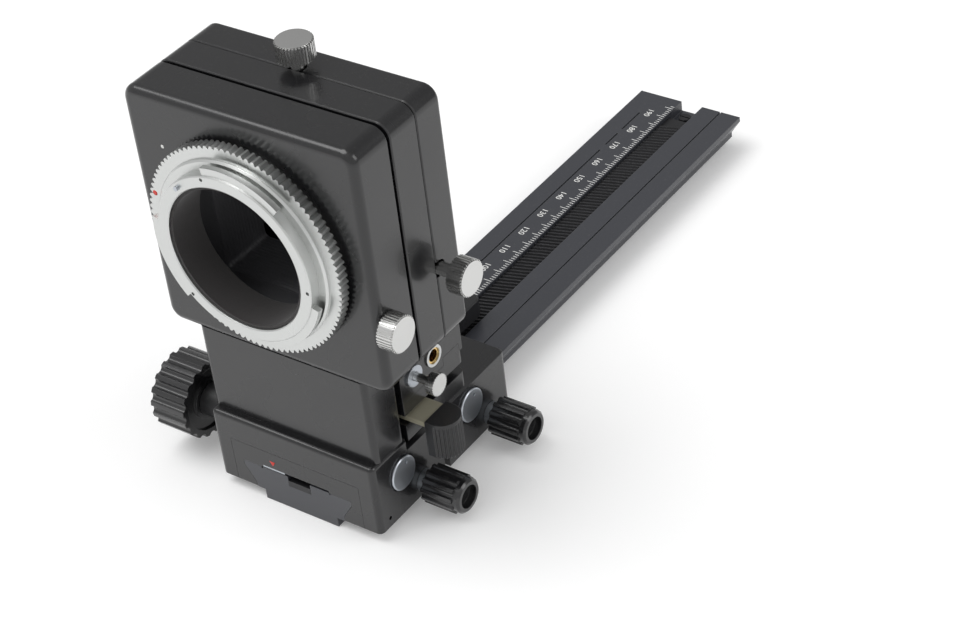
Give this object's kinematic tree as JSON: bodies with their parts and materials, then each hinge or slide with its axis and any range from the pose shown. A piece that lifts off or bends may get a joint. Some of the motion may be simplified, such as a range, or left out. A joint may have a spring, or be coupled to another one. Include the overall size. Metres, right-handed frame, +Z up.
{
  "type": "view camera",
  "caption": "Bellows camera unit on a rack rail: a rear standard with a turning camera mount and a front standard that slides, swings and shifts its lens panel.",
  "frame": {"origin": "middle of the rail's near end, on the surface it stands on", "axes": "+Y along the rail from the camera side to the lens side, +Z up, +X towards the lock knobs"},
  "size_m": [0.0943, 0.2078, 0.1299],
  "materials": {
    "rail_black": "satin",
    "rack_metal": "satin",
    "steel": "satin",
    "black_paint": "semi-gloss",
    "black_anodised": "satin",
    "chrome": "bright",
    "felt": "matt",
    "knurled": "knurled, satin",
    "bellows_cloth": "matt",
    "zinc_yellow": "plated, satin",
    "brass": "bright",
    "knob_plastic": "gloss"
  },
  "bodies": {
    "rail": {"rail": "rail_black", "rack": "rack_metal", "rail_stop_screw": "rack_metal", "tripod_bush": "steel"},
    "rear_carriage": {"rear_block": "black_paint", "index_plate": "black_paint", "rear_gib": "steel", "rear_pinion_hub": "black_anodised", "rear_upright": "black_paint", "rear_box": "black_paint", "bellows": "bellows_cloth"},
    "rear_drive": {"rear_drive_knob": "knob_plastic", "rear_pinion": "steel", "rear_pinion_cap": "steel"},
    "rear_lock": {"rear_lock_knob": "knob_plastic", "rear_lock_screw": "steel"},
    "mount_turn": {"mount_ring": "chrome", "camera_bayonet": "chrome", "throat_sleeve": "felt", "bayonet_pin": "steel"},
    "ring_lock": {"ring_lock_screw": "knurled"},
    "front_carriage": {"front_block": "black_paint", "index_tongue": "black_paint", "front_gib": "steel", "front_pinion_hub": "black_anodised", "swing_deck": "black_paint"},
    "front_drive": {"front_drive_knob": "knob_plastic", "front_pinion": "steel", "front_pinion_cap": "steel"},
    "front_lock": {"front_lock_knob": "knob_plastic", "front_lock_screw": "steel"},
    "swing": {"swing_base": "black_paint"},
    "swing_lever": {"lever_arm": "zinc_yellow", "lever_grip": "black_anodised"},
    "shift": {"shift_base": "black_paint", "release_socket": "chrome", "release_thread": "brass", "shift_washer": "steel", "bellows_frame": "black_paint"},
    "shift_lock": {"shift_lock_screw": "knurled"},
    "lens_panel_body": {"lens_panel": "black_paint", "lens_mount": "chrome"},
    "top_screw": {"top_thumb_screw": "knurled"},
    "side_screw": {"side_thumb_screw": "knurled"},
    "lens_release": {"lens_release_button": "knurled"}
  },
  "joints": [
    {"name": "rear_slide", "type": "slide", "parent": "rail", "child": "rear_carriage", "axis": [0, 1, 0], "range_m": [-0.01, 0], "deforming": ["bellows"]},
    {"name": "front_slide", "type": "slide", "parent": "rail", "child": "front_carriage", "axis": [0, 1, 0], "range_m": [0, 0.135], "deforming": ["bellows"]},
    {"name": "rear_drive_turn", "type": "hinge", "parent": "rear_carriage", "child": "rear_drive", "pos_m": [-0.038, 0.0115, 0.0159], "axis": [1, 0, 0], "range_deg": [0, 96]},
    {"name": "front_drive_turn", "type": "hinge", "parent": "front_carriage", "child": "front_drive", "pos_m": [-0.038, 0.0422, 0.0159], "axis": [1, 0, 0], "range_deg": [-1290, 0]},
    {"name": "rear_lock_turn", "type": "hinge", "parent": "rear_carriage", "child": "rear_lock", "pos_m": [0.035, 0.0194, 0.0074], "axis": [1, 0, 0], "range_deg": [0, 270]},
    {"name": "front_lock_turn", "type": "hinge", "parent": "front_carriage", "child": "front_lock", "pos_m": [0.035, 0.0501, 0.0074], "axis": [1, 0, 0], "range_deg": [0, 270]},
    {"name": "mount_ring_turn", "type": "hinge", "parent": "rear_carriage", "child": "mount_turn", "pos_m": [0, 0, 0.0866], "axis": [0, 1, 0], "range_deg": [-90, 90]},
    {"name": "ring_lock_turn", "type": "hinge", "parent": "rear_carriage", "child": "ring_lock", "pos_m": [0.038, 0.0043, 0.0707], "axis": [1, 0, 0], "range_deg": [0, 270]},
    {"name": "swing_turn", "type": "hinge", "parent": "front_carriage", "child": "swing", "pos_m": [0, 0.0288, 0.031], "axis": [0, 0, 1], "range_deg": [-1.2, 1.2], "deforming": ["bellows"]},
    {"name": "swing_lever_turn", "type": "hinge", "parent": "front_carriage", "child": "swing_lever", "pos_m": [0, 0.0288, 0.029], "axis": [0, 0, 1], "range_deg": [0, 30]},
    {"name": "shift_slide", "type": "slide", "parent": "swing", "child": "shift", "axis": [1, 0, 0], "range_m": [-0.01, 0.01], "deforming": ["bellows"]},
    {"name": "shift_lock_turn", "type": "hinge", "parent": "shift", "child": "shift_lock", "pos_m": [0.033, 0.0212, 0.0409], "axis": [1, 0, 0], "range_deg": [0, 270]},
    {"name": "lens_panel_slide", "type": "slide", "parent": "shift", "child": "lens_panel_body", "axis": [0, 1, 0], "range_m": [0, 0.01]},
    {"name": "top_screw_turn", "type": "hinge", "parent": "shift", "child": "top_screw", "pos_m": [0, 0.0268, 0.127], "axis": [0, 0, 1], "range_deg": [0, 270]},
    {"name": "side_screw_turn", "type": "hinge", "parent": "shift", "child": "side_screw", "pos_m": [0.042, 0.0268, 0.074], "axis": [1, 0, 0], "range_deg": [0, 270]},
    {"name": "lens_release_push", "type": "slide", "parent": "lens_panel_body", "child": "lens_release", "axis": [0, -1, 0], "range_m": [0, 0.0016], "stiffness_N_per_m": 60, "springref_m": -0.004}
  ],
  "couplings": [
    {"joint": "rear_drive_turn", "follows": "rear_slide", "rad_per_m": -166.67},
    {"joint": "front_drive_turn", "follows": "front_slide", "rad_per_m": -166.67}
  ]
}
